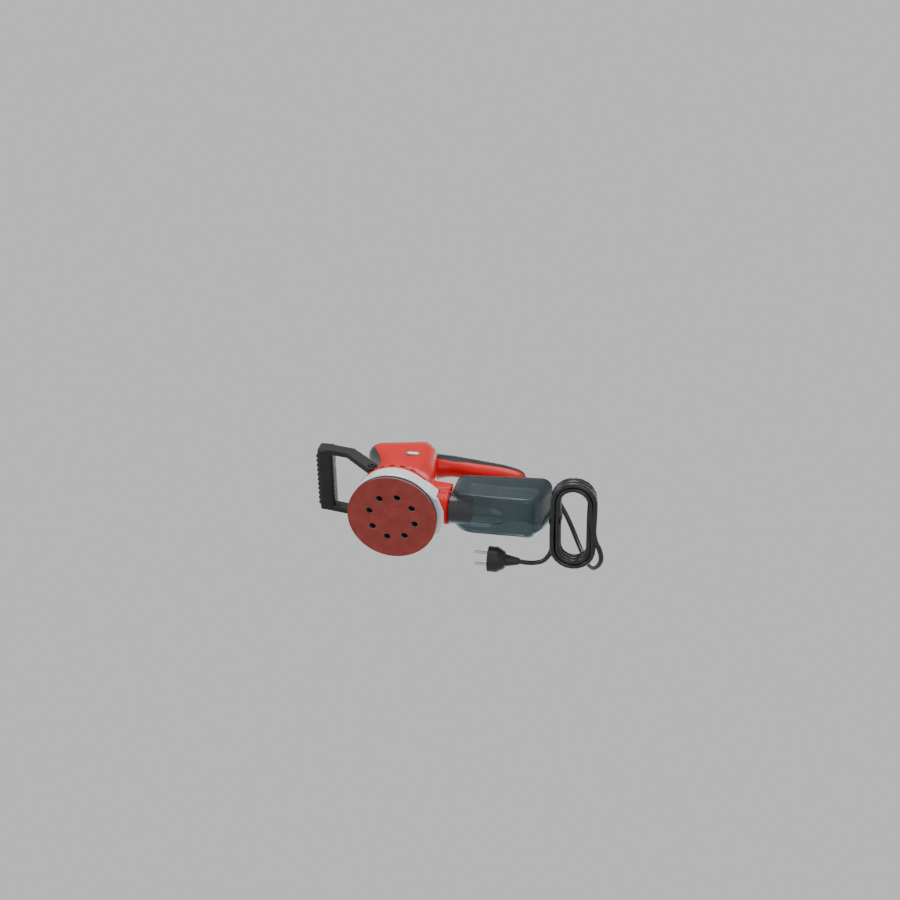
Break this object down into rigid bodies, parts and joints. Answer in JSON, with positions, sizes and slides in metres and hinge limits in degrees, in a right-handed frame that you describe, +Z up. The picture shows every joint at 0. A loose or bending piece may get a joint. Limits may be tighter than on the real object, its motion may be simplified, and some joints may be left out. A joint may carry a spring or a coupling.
{
  "type": "random orbit sander",
  "caption": "Mains random orbit sander with a round perforated pad, a hinged front handle, a rear grip handle, a slide-on dust box and a coiled lead with a plug.",
  "frame": {"origin": "point where the motor's axis meets the plane of the sanding face", "axes": "+Z up along the motor's axis, +X to the rear along the handle and the dust box, -Y to the tool's left"},
  "size_m": [0.4194, 0.1595, 0.1706],
  "materials": {
    "red_plastic": "satin",
    "soft_black": "matt",
    "gloss_black": "gloss",
    "black_plastic": "fine texture",
    "black_rubber": "satin",
    "cast_aluminium": "satin",
    "bright_steel": "satin",
    "plated_brass": "polished",
    "copper_enamel": "varnished",
    "carbon": "matt",
    "foam_black": "open cell",
    "hook_black": "hooked",
    "abrasive_red": "gritted",
    "smoke_clear": "gloss",
    "filter_paper": "pleated",
    "pale_plastic": "satin",
    "board_green": "varnished"
  },
  "bodies": {
    "body": {"housing_left": "red_plastic", "housing_right": "red_plastic", "soft_grip_left": "soft_black", "soft_grip_right": "soft_black", "front_cover": "gloss_black", "housing_screws": "bright_steel", "gear_housing": "cast_aluminium", "gear_housing_screws": "bright_steel", "brake_ring": "black_rubber", "dust_collar": "red_plastic", "stator_core": "bright_steel", "field_coils": "copper_enamel", "brush_holders": "plated_brass", "carbon_brushes": "carbon", "brush_springs": "bright_steel", "upper_bearing_outer": "bright_steel", "upper_bearing_balls": "bright_steel", "bearing_sleeve": "black_rubber", "lower_bearing_outer": "bright_steel", "lower_bearing_balls": "bright_steel", "switch_unit": "black_plastic", "dial_potentiometer": "board_green", "speed_board": "board_green", "capacitor": "board_green", "terminal_block": "pale_plastic", "cord_clamp": "black_plastic", "cord_clamp_screws": "bright_steel", "cord_guard": "black_rubber", "power_cord": "black_rubber", "cord_coil": "black_rubber", "cord_tie": "black_rubber", "plug_lead": "black_rubber", "plug_body": "black_plastic", "plug_pins": "plated_brass", "badge": "pale_plastic", "clamp_screws": "bright_steel"},
    "rotor": {"motor_shaft": "bright_steel", "armature_core": "bright_steel", "armature_windings": "copper_enamel", "commutator": "plated_brass", "cooling_fan": "black_plastic", "upper_bearing_inner": "bright_steel", "lower_bearing_inner": "bright_steel", "eccentric_hub": "bright_steel", "dust_fan": "pale_plastic", "pad_bearing_outer": "bright_steel", "pad_bearing_balls": "bright_steel"},
    "pad": {"pad_bearing_inner": "bright_steel", "pad_spindle": "bright_steel", "backing_plate": "black_plastic", "foam_pad": "foam_black", "hook_layer": "hook_black", "sanding_disc": "abrasive_red", "pad_screw": "bright_steel"},
    "bow": {"front_handle": "black_plastic"},
    "collector": {"dust_box": "smoke_clear", "dust_box_cover": "black_plastic", "dust_filter": "filter_paper"},
    "rocker": {"switch_rocker": "gloss_black"},
    "dial": {"speed_dial": "black_plastic"}
  },
  "joints": [
    {"name": "motor_spin", "type": "hinge", "parent": "body", "child": "rotor", "pos_m": [0, 0, 0.1], "axis": [0, 0, 1], "continuous": true},
    {"name": "pad_spin", "type": "hinge", "parent": "rotor", "child": "pad", "pos_m": [0.00125, 0, 0.0112], "axis": [0, 0, 1], "continuous": true},
    {"name": "front_handle_tilt", "type": "hinge", "parent": "body", "child": "bow", "pos_m": [-0.038, 0, 0.056], "axis": [0, 1, 0], "range_deg": [-12, 25]},
    {"name": "dust_box_slide", "type": "slide", "parent": "body", "child": "collector", "axis": [1, 0, 0], "range_m": [0, 0.045]},
    {"name": "switch_rock", "type": "hinge", "parent": "body", "child": "rocker", "pos_m": [-0.0462, 0, 0.108], "axis": [0, 1, 0], "range_deg": [-10, 0]},
    {"name": "speed_turn", "type": "hinge", "parent": "body", "child": "dial", "pos_m": [-0.036, 0, 0.154], "axis": [0, 1, 0], "range_deg": [0, 270]}
  ]
}
